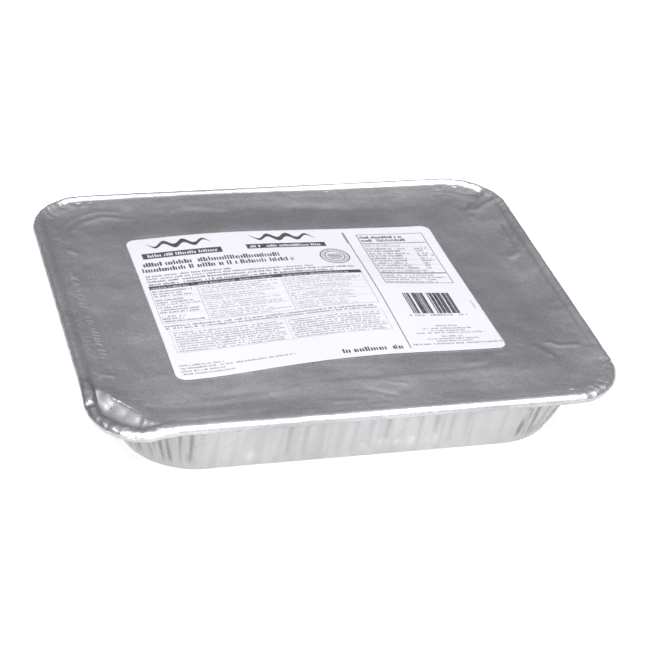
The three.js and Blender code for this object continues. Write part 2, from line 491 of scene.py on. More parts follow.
RISERS = (
    (2.4, 0.3, [(-65, 111.9), (-45.1, 110.6), (-28.3, 107.1)]),
    (2, -0.45, [(120.3, 113.7), (122.8, 122.1)]),
    (2.2, -0.9, [(129.9, 93), (139.3, 103.8), (150.2, 113.5), (156.7, 111.1)]),
    (3, -0.4, [(138.6, 34.3), (147.2, 42.5), (154.7, 48.3)]),
    (2.2, -0.55, [(117.1, -68.7), (122.2, -72.7), (126.2, -78.7), (129.2, -88.7)]),
    (2.2, -0.2, [(-30.8, -95.3), (8.2, -96.7), (58.7, -94.9), (104.9, -91.3)]),
    (2.6, -0.16, [(-124.3, -98.2), (-88.7, -96.5), (-59.5, -97.5), (-26, -95.8)]),
    (3, 0.35, [(0, 112.2), (30.1, 112.4), (60.3, 105.9)]),
)

# Small bumps and dents in the lid: place, reach and height.
SPOTS = (
    (-96.9, 120.5, 5, 0.35), (-73.7, 120.1, 4, 0.3), (-57.7, 119.1, 4, 0.3),
    (7.1, 123.1, 5, 0.35), (79.3, 111.8, 5, 0.35), (137.6, 89.3, 2, 0.35),
    (133.7, 86.7, 2, 0.3), (112.1, -69.9, 1.8, 0.35), (126.2, -83.7, 2.2, 0.4),
    (125.1, -91.7, 5, 0.4), (-53.8, -102.3, 3, -0.3), (23.7, -110.8, 4, -0.35),
    (126.6, 103.4, 9, 0.6), (151.7, 67.2, 7, -0.5), (-150.5, -103, 3, -0.4),
    (-159.3, -97.5, 1.8, -1.2),
)

# Small pleats round the rim, how many at each corner and all round: their least and greatest
# width, least and greatest height, and greatest lean.
CORNER_PLEATS = 16
CORNER_PLEAT = (1.2, 2.4, -0.3, 0.18, 0.5)
OTHER_PLEATS = 46
OTHER_PLEAT = (1.2, 3.5, -0.22, 0.18, 0.8)
PLEAT_SEED = 5


def rim_place(x, y):
    """How far a place is round the rim, anticlockwise from the right side's front end."""
    half_x, half_y = RIM.core
    out_x, out_y = from_core(x, y)
    near_x, near_y = x - out_x, y - out_y
    angle = np.mod(np.arctan2(out_y, out_x), 2 * math.pi)
    side = np.mod(np.floor((angle + math.pi / 4) / (math.pi / 2)), 4)
    starts = (
        near_y + half_y,
        2 * half_y + half_x - near_x,
        3 * half_y + 2 * half_x - near_y,
        4 * half_y + 3 * half_x + near_x,
    )
    return np.select([side == number for number in range(4)], starts) + RIM.corner * angle


def pleats():
    """Places, widths, heights and leans of the small pleats round the rim, most at the corners."""
    pick = random.Random(PLEAT_SEED)
    half_x, half_y = RIM.core
    bend = RIM.corner * math.pi / 2
    corners = (
        2 * half_y,
        2 * half_y + bend + 2 * half_x,
        4 * half_y + 2 * bend + 2 * half_x,
        4 * half_y + 3 * bend + 4 * half_x,
    )

    def pleat(start, length, narrow, wide, low, high, lean):
        at = start + pick.random() * length
        return at, pick.uniform(narrow, wide), pick.uniform(low, high), pick.uniform(-lean, lean)

    starts = [start - 8 for start in corners for _ in range(CORNER_PLEATS)]
    made = [pleat(start, bend + 16, *CORNER_PLEAT) for start in starts]
    all_round = 4 * half_x + 4 * half_y + 4 * bend
    return made + [pleat(0, all_round, *OTHER_PLEAT) for _ in range(OTHER_PLEATS)]


def lid_relief(points, height):
    """How far folds, pleats and crumples move the lid's foil up."""
    x, y = points.T[:2]
    inside = depth_inside(RIM, x, y)
    round_rim = rim_place(x, y)
    bare = 1 - smooth(-4, 0.5, depth_inside(LABEL, x - LABEL_PLACE[0], y - LABEL_PLACE[1]))
    relief = np.zeros(len(points))
    for fold in RIDGES:
        relief += ridge(*fold, x, y)
    for fold in RISERS:
        relief += riser(*fold, x, y)
    for at_x, at_y, reach, rise in SPOTS:
        relief += rise * hump(x, at_x, reach) * hump(y, at_y, reach)
    _, crushed, painted_light_and_shade, face = crush(x, y)
    gathered = (1 - smooth(7, 15, inside)) * (1 - np.minimum(2 * painted_light_and_shade, 1)) * (1 - face)
    for at, width, rise, lean in pleats():
        relief += rise * hump(round_rim - lean * (inside - 4), at, width) * gathered

    flat = np.column_stack((x, y, np.zeros(len(x))))
    relief += 0.5 * crushed * noise_at(flat, size=5, seed=9, octaves=4)
    crumple = noise_at(flat, size=7, seed=3, octaves=4) * (1 - 0.85 * face)
    relief += 0.14 * crumple * plateau(7, 9, 14, 24, inside)
    clouds = noise_at(flat * (0.7, 1, 1), size=13, seed=4)
    relief += 0.12 * clouds * smooth(10, 20, inside) * (1 - face)
    beside = smooth(-15, 15, np.abs(x) - np.abs(y) - (RIM.length - RIM.width) / 2)
    rolls = noise_at(flat * (0.6, 1, 1), size=30, seed=6) * (1 - beside)
    rolls += noise_at(flat * (1, 0.5, 1), size=24, seed=7) * beside
    relief += 0.55 * rolls * smooth(12, 26, inside) * (1 - face)
    return height * bare * relief


# ---------------------------------------------------------------- materials

# Noise in the foil: scale, detail and roughness.
GRAIN = (1, 4, 0.6)
CLOUD = (26, 5, 0.6)
BROAD = (15, 2, 0.5)
FINE = (150, 4, 0.6)
SPECK = (620, 3, 0.7)
WRINKLE = (380, 4, 0.7)
WRINKLE_CELLS = 300
STROKE_SLANT = 0.3
STROKE_HEIGHT = 0.8
# How much the pressed strokes are lightened, a painted highlight.
STROKE_HIGHLIGHT = 1.1


def add(tree, kind, inputs=None, **settings):
    """Adds a node and sets its inputs."""
    made = tree.nodes.new(f"ShaderNode{kind}")
    for name, value in settings.items():
        setattr(made, name, value)
    give(made, inputs or {})
    return made


def give(node, inputs):
    """Sets a node's inputs, each to a value or to the output of another node."""
    for key, value in inputs.items():
        if isinstance(value, NodeSocket):
            node.id_data.links.new(value, node.inputs[key])
        else:
            node.inputs[key].default_value = value


def follow(kind, inputs, **settings):
    """Adds a node to the tree that the first output among its inputs is in."""
    tree = next(value.id_data for value in inputs.values() if isinstance(value, NodeSocket))
    return add(tree, kind, inputs, **settings)


def maths(operation, *values):
    return follow("Math", dict(enumerate(values)), operation=operation).outputs[0]


plus = partial(maths, "ADD")
minus = partial(maths, "SUBTRACT")
times = partial(maths, "MULTIPLY")
times_plus = partial(maths, "MULTIPLY_ADD")
over = partial(maths, "DIVIDE")
most = partial(maths, "MAXIMUM")
above = partial(maths, "GREATER_THAN")
below = partial(maths, "LESS_THAN")
whole = partial(maths, "FLOOR")
fraction = partial(maths, "FRACT")
sine = partial(maths, "SINE")


def noise_node(place, scale, detail=3, rough=0.5):
    inputs = {"Vector": place, "Scale": scale, "Detail": detail, "Roughness": rough}
    return follow("TexNoise", inputs).outputs["Fac"]


def mapped(value, low, high, to_low, to_high):
    return follow("MapRange", dict(enumerate((value, low, high, to_low, to_high)))).outputs[0]


def mix(share, first, second, blend="MIX"):
    inputs = {0: share, 6: first, 7: second}
    return follow("Mix", inputs, data_type="RGBA", blend_type=blend).outputs[2]


def bump(height, distance, strength):
    inputs = {"Height": height, "Distance": distance, "Strength": strength}
    return follow("Bump", inputs).outputs["Normal"]


def shade(red, green, blue):
    return follow("CombineColor", {0: red, 1: green, 2: blue}).outputs[0]


def opaque(colour, share=1):
    """A share of a colour's brightness, with full alpha."""
    return *(value * share for value in colour), 1


def new_material(name):
    """A new material, with its place in the object and its shader."""
    material = bpy.data.materials.new(name)
    material.use_nodes = True
    tree = material.node_tree
    return material, add(tree, "TexCoord").outputs["Object"], tree.nodes["Principled BSDF"]


def attribute(shader, name):
    return add(shader.id_data, "Attribute", attribute_name=name).outputs["Fac"]


def within(value, low, high):
    return times(above(value, low), below(value, high))


def in_field(along, up, left, low, right, high):
    return times(within(along, left, right), within(up, low, high))


def start_group(name, inputs):
    """Starts a node group that adds its ink to what there is so far, and returns its inputs."""
    group = bpy.data.node_groups.new(name, "ShaderNodeTree")
    for key in ("Along", "Up", "Ink", *inputs.split()):
        group.interface.new_socket(key, in_out="INPUT", socket_type="NodeSocketFloat")
    group.interface.new_socket("Ink", in_out="OUTPUT", socket_type="NodeSocketFloat")
    return list(group.nodes.new("NodeGroupInput").outputs)[:-1]


def end_group(ink, before):
    group = ink.id_data
    group.links.new(most(ink, before), group.nodes.new("NodeGroupOutput").inputs["Ink"])
    return group


def field_group():
    """A plain rectangle of ink."""
    names = "Left Low Right High Dark"
    along, up, before, left, low, right, high, dark = start_group("ink field", names)
    return end_group(times(in_field(along, up, left, low, right, high), dark), before)


def print_all(along, up, ink, group, rows):
    """Adds the ink of all rows of a table, each with the group's numbers."""
    for row in rows:
        inputs = dict(enumerate((along, up, ink, *row)))
        ink = follow("Group", inputs, node_tree=group).outputs["Ink"]
    return ink


def foil_material(name, colour, rough, rolling, mottle, pressed=()):
    """Rolled foil: cloudy tone, grain, specks, pressed strokes with a painted highlight, crinkles
    where it is worn, and the piece's painted light and shade.
    """
    material, place, shader = new_material(name)
    worn = attribute(shader, "worn")
    painted_light_and_shade = attribute(shader, "painted_light_and_shade")
    rolled = follow("Mapping", {"Vector": place, "Scale": rolling}).outputs["Vector"]
    cloud = noise_node(place, *CLOUD)
    speck = noise_node(place, *SPECK)
    tone = times_plus(cloud, 0.6, times(speck, 0.4))
    tone = mapped(tone, 0.4, 0.6, 1 - 0.2 * mottle, 1 + 0.1 * mottle)
    # Painted light and shade from the piece's attribute: darker above 0, lighter below it.
    tone = times(tone, mapped(painted_light_and_shade, -0.5, 1, 1.275, 0.45))
    height = times_plus(speck, 0.02, times(noise_node(rolled, *GRAIN), 0.03))
    rolls = times_plus(noise_node(place, *BROAD), 2.0 * mottle, times(cloud, 0.5 * mottle))
    rolls = times_plus(noise_node(place, *FINE), 0.12 * mottle, rolls)
    calm = mapped(worn, -1, 0, 0, 1)
    height = times_plus(rolls, calm, height)
    cells = follow("TexVoronoi", {"Vector": place, "Scale": WRINKLE_CELLS}, feature="SMOOTH_F1")
    wrinkle = plus(cells.outputs["Distance"], noise_node(place, *WRINKLE))
    height = times_plus(wrinkle, times(most(worn, 0.0), 0.45), height)
    if pressed:
        scaled = follow("Mapping", {"Vector": place, "Scale": [1 / MM] * 3}).outputs["Vector"]
        along, up, _ = follow("SeparateXYZ", {0: scaled}).outputs
        slanted = times_plus(along, STROKE_SLANT, up)
        strokes = print_all(along, slanted, 0.0, field_group(), pressed)
        height = plus(height, times(strokes, STROKE_HEIGHT))
        # A painted highlight lightens the pressed strokes.
        tone = times_plus(strokes, STROKE_HIGHLIGHT, tone)
    inputs = {
        "Metallic": 1,
        "Base Color": mix(1.0, opaque(colour), shade(tone, tone, tone), "MULTIPLY"),
        "Roughness": mapped(cloud, 0.3, 0.7, rough + 0.05, rough - 0.06),
        "Normal": bump(height, MM, 0.9),
    }
    give(shader, inputs)
    return material


# ---------------------------------------------------------------- settings


class TraySettings(PropertyGroup):
    """The fluted foil tray."""

    flute_depth: FloatProperty(
        name="Flute depth", default=0.0013, unit="LENGTH",
        description="How far the grooves between the flutes go in",
    )
    pleat_depth: FloatProperty(
        name="Pleat depth", default=0.0015, unit="LENGTH",
        description="How far the pleats of the corners go in and out",
    )
    colour: FloatVectorProperty(
        name="Foil colour", default=(0.53, 0.53, 0.535), subtype="COLOR",
        description="Colour of the bright foil",
    )
    roughness: FloatProperty(
        name="Roughness", default=0.3, subtype="FACTOR",
        description="How dull the tray's foil is",
    )


class LidSettings(PropertyGroup):
    """The foil lid crimped round the rim."""

    relief: FloatProperty(
        name="Relief", default=1.0, subtype="FACTOR",
        description="Height of the lid's folds and crumples, as a share of the usual height",
    )
    colour: FloatVectorProperty(
        name="Foil colour", default=(0.74, 0.73, 0.755), subtype="COLOR",
        description="Colour of the lid's dull foil",
    )
    roughness: FloatProperty(
        name="Roughness", default=0.32, subtype="FACTOR",
        description="How dull the lid's foil is",
    )


class LabelSettings(PropertyGroup):
    """The paper label stuck on the lid."""

    thickness: FloatProperty(
        name="Thickness", default=0.0002, unit="LENGTH",
        description="Thickness of the label's paper",
    )
    colour: FloatVectorProperty(
        name="Paper colour", default=(0.82, 0.81, 0.87), subtype="COLOR",
        description="Colour of the unprinted paper",
    )
    ink: FloatVectorProperty(
        name="Ink colour", default=(0.012, 0.012, 0.016), subtype="COLOR",
        description="Colour of the print",
    )


class StageSettings(PropertyGroup):
    """The floor, the lamps and the camera."""

    floor_colour: FloatVectorProperty(
        name="Floor colour", default=(0.96, 0.96, 0.96), subtype="COLOR",
        description="Colour of the pale floor",
    )
    key_power: FloatProperty(
        name="Softbox power", default=53.0, unit="POWER",
        description="Power of the large softbox over the tray",
    )
    fill_power: FloatProperty(
        name="Fill power", default=4.0, unit="POWER",
        description="Power of the softbox low in front",
    )


# ---------------------------------------------------------------- tray

TRAY_STEPS = Steps(160, 116, 72)
TRAY_ROLLING = (260, 260, 25)
TRAY_MOTTLE = 0.25
FLUTE_PITCH = 10.0
FLUTE_START = -4.3
GROOVE_REACH = 1.7
PLEATS_ON_CORNER = 12

# Where the flutes fade out: how far from a side's ends, and at which shares of the wall's
# height. The front wall's left end has faint ones.
PLAIN_END = (22, 14)
FLUTE_FOOT = (0.02, 0.16)
FLUTE_HEAD = (0.9, 1.0)
FAINT_END = (-72, -48)

# Shallow dents near the foot of the front wall: along the wall, level, reach and depth. The depth
# also sets the painted highlight above each dent.
DENTS = (
    (-66, 7, 3.0, 1.1), (14, 9, 3.2, 1.1), (23, 8.4, 2.6, 1.0),
    (32, 9.2, 2.8, 1.2), (45, 10, 3.2, 1.1), (2, 8, 2.2, 0.6),
)


def wall_relief(points, flute_depth, pleat_depth):
    """How far the wall's flutes, pleats and dents move it along X and Y, and its painted light and
    shade.
    """
    x, y, z = points.T
    share = np.clip((z - WALL_FOOT) / (WALL_HEAD - WALL_FOOT), 0, 1)
    length, width, corner = (
        low * (1 - share) + high * share for low, high in zip(BASE, WALL_TOP)
    )
    core_x, core_y = length / 2 - corner, width / 2 - corner
    near_x = np.clip(x, -core_x, core_x)
    near_y = np.clip(y, -core_y, core_y)
    away = np.maximum(np.hypot(x - near_x, y - near_y), SAME)
    out_x, out_y = (x - near_x) / away, (y - near_y) / away
    on_wall = (z > 0.6) & (z < WALL_HEAD + 0.4) & (depth_inside(BASE, x, y) < 2.5)

    # Flutes on the straight sides.
    held_x, held_y = BASE.core
    on_length = np.abs(out_y) > 0.999
    on_width = np.abs(out_x) > 0.999
    along = np.where(on_length, x, y)
    held = np.where(on_length, held_x, held_y)
    start = np.where(on_length, FLUTE_START, 0)
    phase = np.mod((along - start) / FLUTE_PITCH + 0.5, 1) - 0.5
    number = np.round((along - start) / FLUTE_PITCH)
    uneven = 0.6 + 0.4 * np.sin(number * 2.7) * np.cos(number * 1.3)
    uneven *= 1 - 0.75 * (1 - smooth(*FAINT_END, x)) * on_length * (y < 0)
    groove = hump(phase * FLUTE_PITCH, 0, GROOVE_REACH)
    wave = 0.22 * np.cos(2 * math.pi * phase) - groove
    ends = 1 - smooth(held - PLAIN_END[0], held - PLAIN_END[1], np.abs(along))
    fluted = uneven * ends * (on_length | on_width)
    foot = smooth(*FLUTE_FOOT, share)
    head = 1 - smooth(*FLUTE_HEAD, share)
    relief = flute_depth * 0.75 * wave * fluted * foot * head
    # Painted shade in the grooves, stronger towards the top.
    painted_light_and_shade = 0.52 * groove * fluted * foot * (0.35 + 0.65 * share)

    # Pleats round the corners.
    turn = np.arctan2(np.abs(out_y), np.abs(out_x))
    arc = corner * math.pi / 2
    lead_y, lead_x = core_y - held_y, core_x - held_x
    gone = lead_y + corner * turn
    gone = np.where(on_width, np.abs(y) - held_y, gone)
    gone = np.where(on_length, lead_y + arc + core_x - np.abs(x), gone)
    turned = np.clip(gone / (lead_y + arc + lead_x), -0.2, 1.2)
    quarter = (x > 0) * 1.0 + (y > 0) * 2.0
    wander = 0.16 * np.sin(turned * 17 + quarter * 1.7) + 0.05 * np.sin(share * 5 + turned * 9)
    pleat = turned * PLEATS_ON_CORNER + wander
    fold = np.abs(np.mod(pleat, 1) - 0.5) * 2
    cornered = plateau(0.02, 0.1, 0.9, 0.98, turned)
    strength = (0.55 + 0.45 * np.sin(np.floor(pleat) * 2.1 + quarter * 2.3)) * cornered
    relief += pleat_depth * (fold - 0.5) * strength * smooth(0, 0.08, share) * head
    low_fade = smooth(0, 0.2, share)
    # Painted shade along the pleats' folds.
    painted_light_and_shade += 0.9 * (1 - smooth(0.0, 0.4, fold)) * strength * low_fade

    # Streaks, soft bulges and dents, with painted shade along the streaks.
    place = np.column_stack((60 * turned, 2.4 * share, 50 * quarter))
    streaks = noise_at(place, size=2.1, seed=21)
    relief += 0.3 * streaks * cornered * foot * head
    painted_light_and_shade += 0.75 * smooth(0.1, 0.5, streaks) * cornered * low_fade
    place = np.column_stack((along, 3 * share, 90 * on_width))
    streaks = noise_at(place, size=4.5, seed=22, octaves=2)
    painted_light_and_shade += 0.16 * smooth(-0.1, 0.5, streaks) * (1 - cornered)
    # Painted shade, darker towards the ends of the long sides.
    painted_light_and_shade += 0.22 * smooth(70, 115, np.abs(x)) * (1 - np.abs(out_x))
    bulges = noise_at(points * (1, 1, 0.5), size=14, seed=8, octaves=2)
    relief += 0.16 * bulges * smooth(0, 0.1, share) * head
    for at, level, reach, depth in DENTS:
        front = (y < 0) * on_length * hump(x, at, reach)
        relief -= depth * front * hump(z, level, reach)
        # A painted highlight just above each dent.
        painted_light_and_shade -= 0.45 * depth * front * hump(z, level + 0.6 * reach, reach)
    relief = np.where(on_wall, relief, 0)
    # Painted shade, darker towards the top of the wall, under the rim.
    painted_light_and_shade = np.where(on_wall, painted_light_and_shade + 0.4 * smooth(0, 1, share), 0)
    return relief * out_x, relief * out_y, painted_light_and_shade, cornered * on_wall


# The underside from the middle out, as insets from the base's outline and levels.
UNDERSIDE = (
    (44.5, 0.5), (41, 0.5), (39.5, 1.2), (27, 1.2), (26, 0.7),
    (23, 0.7), (22, 1.2), (14.4, 1.2), (13.6, 0.8), (13, 0),
)


class MEAL_OT_tray(Operator):
    """Model the fluted foil tray and the top of its filling, which the lid hides"""

    bl_idname = "meal.tray"
    bl_label = "Foil tray"

    def execute(self, context):
        settings = context.scene.meal_tray
        piece = begin("foil_tray")
        add_outline(piece, BASE.inset(46), 1.2, TRAY_STEPS)
        close_in((0.55,), 1.2)
        outside = [(BASE.inset(by), level) for by, level in UNDERSIDE]
        outside += [
            (BASE.inset(1.6), 0, 1),
            (BASE.inset(0.8), 0.35),
            (BASE.inset(0.25), 1.1),
            (BASE, WALL_FOOT),
            (WALL_TOP, WALL_HEAD, 32),
            (WALL_TOP, 42.8),
            (WALL_TOP.inset(-0.6), FLANGE_UNDER),
            (RIM.inset(9), FLANGE_UNDER),
            (RIM.inset(6.6), 43.8),
            (RIM.inset(1.8), 43.8),
        ]
        loft(piece, outside, TRAY_STEPS)
        top = [
            (RIM.inset(9.5), FLANGE_LEVEL - 1.85),
            (WALL_TOP, FLANGE_LEVEL - 1.9),
            (PANEL, PANEL_LEVEL - 2),
        ]
        loft(piece, bead(1.9, 6, 0.8) + top, TRAY_STEPS)
        close_in((0.9, 0.8, 0.68, 0.54, 0.4, 0.22, 0.08), PANEL_LEVEL - 2)
        end_edit(piece)

        points = places(piece)
        depths = settings.flute_depth / MM, settings.pleat_depth / MM
        out_x, out_y, painted_light_and_shade, cornered = wall_relief(points, *depths)
        # The wall's painted light and shade, which the foil's colour reads.
        note(piece, "painted_light_and_shade", painted_light_and_shade)
        note(piece, "worn", 0.3 * cornered)
        x, y, z = points.T
        filling = (z > 40) & (depth_inside(PANEL, x, y) > -0.01)
        displace(piece, "X", out_x)
        displace(piece, "Y", out_y)
        displace(piece, "Z", filling * swell(x, y) + crush(x, y)[0] * smooth(36, 43, z))
        foil = settings.colour, settings.roughness, TRAY_ROLLING, TRAY_MOTTLE
        material = foil_material("bright tray foil", *foil)
        finish_piece(piece, material, "tray")
        return {"FINISHED"}


# ---------------------------------------------------------------- lid

LID_STEPS = Steps(190, 144, 64)
LID_ROLLING = (25, 260, 260)
LID_MOTTLE = 1.1

# The lip hangs down at the front: how far, below which level, and over which height.
LIP_HANG = 1.8
LIP_TOP = 45.3
LIP_HEIGHT = 1.7
LIP_WITHIN = 6
EDGE_BAND = (9, 13)
LEFT_BAND = (15, 20)

# Bands of the lid with painted light and shade: lighter along the front, darker in a band at the
# back and on the right side.
FRONT_BAND = (-104, -84)
BACK_BAND = (76, 90, 104, 114)
RIGHT_BAND = (98, 120)

# Plain slanting strokes pressed into the left band: levels and lengths.
STROKE_LEVELS = (
    (45.5, 2.5), (42, 4.5), (39.6, 4.8), (34, 5), (32.2, 2.2), (25.8, 3.2),
    (21.8, 4.6), (18.4, 4.6), (15.6, 3), (12.8, 4.6), (9.4, 4.4), (-1.5, 3),
    (-5.5, 4.4), (-8.6, 3.2), (-13.8, 3.4), (-17.2, 4.6), (-20.4, 4.8), (-23.6, 4.6),
    (-26.4, 3), (-29.4, 4.8), (-35.4, 4.8), (-39.2, 5), (-43.2, 2.6),
)
STROKE_LEFT = -146.2
STROKE_WIDTH = 0.7


def pressed_stroke(level, length):
    """The field of a stroke, which the foil's material slants."""
    left = STROKE_LEFT - 0.034 * level
    up = 1.044 * level - 6.4 + STROKE_SLANT * left
    return left, up - STROKE_WIDTH, left + 0.9 * length, up + STROKE_WIDTH, 1


class MEAL_OT_lid(Operator):
    """Model the foil lid, its bead and its crimp, and the folds and crumples of its foil"""

    bl_idname = "meal.lid"
    bl_label = "Foil lid"

    def execute(self, context):
        settings = context.scene.meal_lid
        piece = begin("foil_lid")
        add_outline(piece, PANEL, PANEL_LEVEL - 1.2, LID_STEPS)
        close_in((0.86, 0.7, 0.52, 0.32, 0.1), PANEL_LEVEL - 1.2)
        flange = [(WALL_TOP, FLANGE_LEVEL - 1.6), (RIM.inset(9.8), FLANGE_LEVEL - 1.5)]
        crimp = [
            (RIM.inset(0.6), 44.1),
            (RIM.inset(5.5), 44.1),
            (RIM.inset(5.7), 43.85),
            (RIM.inset(5.5), LIP_LEVEL),
        ]
        loft(piece, flange + bead(1.3, 5, 0.9)[::-1] + crimp, LID_STEPS)
        mark(piece, "underside")
        lip = [
            (RIM.inset(0.7), LIP_LEVEL + HAIR, 2),
            (RIM.inset(0.2), 43.75),
            (RIM, 44.1),
            (RIM, 44.7),
        ]
        loft(piece, lip + bead(0, 14) + [(WALL_TOP, 45, 4), (PANEL, 44, 2)], LID_STEPS)
        shares = [1 - 0.0053 * step for step in range(1, 37)]
        shares += [0.809 - 0.0088 * step for step in range(1, 18)]
        shares += [0.62, 0.56, 0.48, 0.38, 0.26, 0.12, 0.04]
        close_in(shares, PANEL_LEVEL)
        end_edit(piece)

        points = places(piece)
        x, y, z = points.T
        inside = depth_inside(RIM, x, y)
        back = facing_back(x, y)
        lip = (inside < LIP_WITHIN) & (z < 44.75)
        hang = LIP_HANG * smooth(0.2, -0.9, back) * np.clip((LIP_TOP - z) / LIP_HEIGHT, 0, 1)
        rise = np.where(lip, -hang, top_level(inside, back) - z)
        rise += lid_relief(points, settings.relief)
        rise[marked(piece, "underside")] = 0
        crushed_by, crushed, painted_light_and_shade, face = crush(x, y)
        displace(piece, "Z", rise + swell(x, y) + crushed_by)
        piece.data.attributes.remove(piece.data.attributes["underside"])

        out_x, out_y = from_core(x, y)
        cornered = (np.abs(out_x) > 0.1) & (np.abs(out_y) > 0.1)
        edge = 1 - smooth(*EDGE_BAND, inside)
        left = smooth(0.6, 0.9, -out_x / np.maximum(np.hypot(out_x, out_y), SAME))
        band = left * (1 - smooth(*LEFT_BAND, inside))
        worn = np.maximum.reduce((edge * (0.25 + 0.45 * cornered), crushed, 0.5 * band))
        worn = np.maximum(worn * (1 - 0.9 * face), 0.06) - 0.8 * smooth(0.3, 0.9, face)
        note(piece, "worn", worn * settings.relief)
        # Painted shade on the hanging skirt and painted light and shade in the bands, over the
        # corner's painted light and shade.
        shaded_skirt = lip & (back < 0.5)
        tone = 0.14 * plateau(*BACK_BAND, y) - 0.28 * (1 - smooth(*FRONT_BAND, y))
        tone += 0.12 * smooth(*RIGHT_BAND, x) * smooth(-90, -70, y)
        note(piece, "painted_light_and_shade", np.maximum(painted_light_and_shade, 0.75 * shaded_skirt) + tone * (inside > LIP_WITHIN))
        foil = settings.colour, settings.roughness, LID_ROLLING, LID_MOTTLE
        strokes = [pressed_stroke(*stroke) for stroke in STROKE_LEVELS]
        material = foil_material("dull lid foil", *foil, strokes)
        finish_piece(piece, material, "lid")
        return {"FINISHED"}


# ---------------------------------------------------------------- label print

# All print is laid out in millimetres from the label's middle: left, low, right and high.


def box_sides(left, low, right, high, line, dark):
    """The four sides of a box, as fields."""
    return [
        (left, low, left + line, high, dark),
        (right - line, low, right, high, dark),
        (left, low, right, low + line, dark),
        (left, high - line, right, high, dark),
    ]


# Plain fields of ink, and how dark they are.
FIELDS = [
    (-96, 51.3, -44.3, 57.8, 1),
    (-27.7, 53, 25.4, 58.7, 1),
    (-99.4, 16.5, 37.8, 20.3, 1),
    (-99.4, -20.6, 37.6, -20.2, 0.55),
    (-25.8, -50.4, -25.5, -28, 0.4),
    (41.4, -71.5, 42.1, 70.6, 0.85),
    (40.4, 55.6, 41.5, 70.6, 0.6),
    (50.3, 54.9, 95, 55.7, 0.9),
    (50.3, 14.9, 95, 16.1, 0.95),
]
FIELDS += [(left, -20.6, left + 0.4, 16.6, 0.55) for left in (-99.6, -70.2, -16.2, 37.3)]
FIELDS += [(-99.4, low, 37.6, low + 0.25, 0.45) for low in (6.6, -1.4, -10.6)]
FIELDS += [
    (50.3, low, 95, low + 0.25, 0.6) for low in (50.4, 45.8, 39.4, 33, 26.6, 20.4, 9.2)
]
FIELDS += box_sides(-97.2, -50.4, 37, -28, 0.3, 0.5)
FIELDS += box_sides(49.5, 2.5, 95.8, 67.4, 0.5, 0.95)


def lines(share, pitch, gaps, dark, *rows):
    """Single lines of dashes: the share of the height and the pitch of the dashes."""
    return [
        (left, low, right, high, high - low, share, pitch, gaps, 0, dark)
        for left, low, right, high in rows
    ]


def blocks(left, right, style, ragged, dark):
    """The four blocks of a column of the table, one above the other."""
    bands = (7.2, 15.8), (-1, 6.2), (-10.2, -1.8), (-20, -11.2)
    return [
        (left, low, right, high, *style, edge, dark) for (low, high), edge in zip(bands, ragged)
    ]


# Rows of dashes in the place of small print: the rows' pitch and how much of it the ink takes,
# the dashes' pitch, how many are left out, how ragged the right edge is, and how dark.
DASHES = [
    *lines(0.86, 1.75, 0.13, 1, (-99.3, 42.2, -8.7, 47.8)),
    *lines(0.86, 1.75, 0.12, 1, (-99.3, 35.9, -1, 41.4)),
    *lines(0.74, 1, 0.15, 0.85, (-98.9, 30.3, -44.2, 32.9)),
    *lines(0.74, 1, 0.15, 0.8, (-98.9, 27.4, 9, 29.9)),
    *lines(0.78, 1, 0.14, 0.92, (-98.9, 24.3, 35.2, 26.8), (-98.9, 20.9, 20.4, 23.6)),
    *blocks(-98.3, -71.5, (2.6, 0.66, 0.9, 0.16), (9, 12, 9, 14), 0.8),
    *blocks(-68.8, -17.2, (2.05, 0.6, 0.8, 0.17), (16, 16, 16, 22), 0.62),
    *blocks(-14.8, 36.4, (2.05, 0.6, 0.8, 0.17), (16, 16, 16, 22), 0.62),
    (-98.9, -26.6, 37.1, -21.6, 2.5, 0.7, 0.95, 0.14, 7, 0.85),
    (-95.4, -49.6, -27.2, -29, 2.28, 0.64, 0.85, 0.15, 5, 0.7),
    (-24.2, -49.6, 35.8, -29, 2.28, 0.64, 0.85, 0.15, 5, 0.7),
    *lines(
        0.75, 0.85, 0.15, 0.75,
        (-98.8, -63.4, -71.5, -61.3), (-98.8, -66, -29, -63.9),
        (-98.8, -68.8, -72.4, -66.7), (-98.8, -71.5, -67, -69.4),
    ),
    *lines(0.9, 1.75, 0.16, 1, (-0.8, -71.4, 37.2, -66.4)),
    *lines(0.82, 1.35, 0.1, 1, (50.8, 61.8, 80, 65.8), (50.8, 57.6, 81.5, 61.6)),
    (50.8, 51, 76, 54.6, 1.8, 0.75, 0.8, 0.15, 12, 0.65),
    (50.8, 20.8, 80, 50.2, 3.2, 0.62, 0.9, 0.14, 10, 0.85),
    (84, 20.8, 94.6, 50.2, 3.2, 0.62, 0.9, 0.2, 7, 0.75),
    (50.8, 16.4, 88, 20.2, 1.9, 0.7, 0.8, 0.15, 6, 0.7),
    (50.8, 3.4, 93.4, 14.6, 2.8, 0.6, 0.85, 0.2, 8, 0.75),
    *lines(0.9, 1.7, 0.28, 0.8, (52.8, -36.9, 90.7, -34.9)),
    *lines(
        0.8, 0.85, 0.14, 0.75,
        (65.3, -49, 79.5, -47), (56.2, -52, 87.7, -49.9), (60.3, -54.5, 84.7, -52.4),
        (50.3, -57, 94.9, -54.9), (65.6, -60.9, 78.8, -58.9), (55.6, -63.6, 88.9, -61.5),
        (60.7, -66.1, 83.9, -64),
    ),
    *lines(0.8, 0.85, 0.12, 0.8, (43.9, -69, 102, -66.8)),
    (98.6, -29.6, 99.8, -17.7, 1.1, 0.7, 1.3, 0.15, 0, 0.8),
]

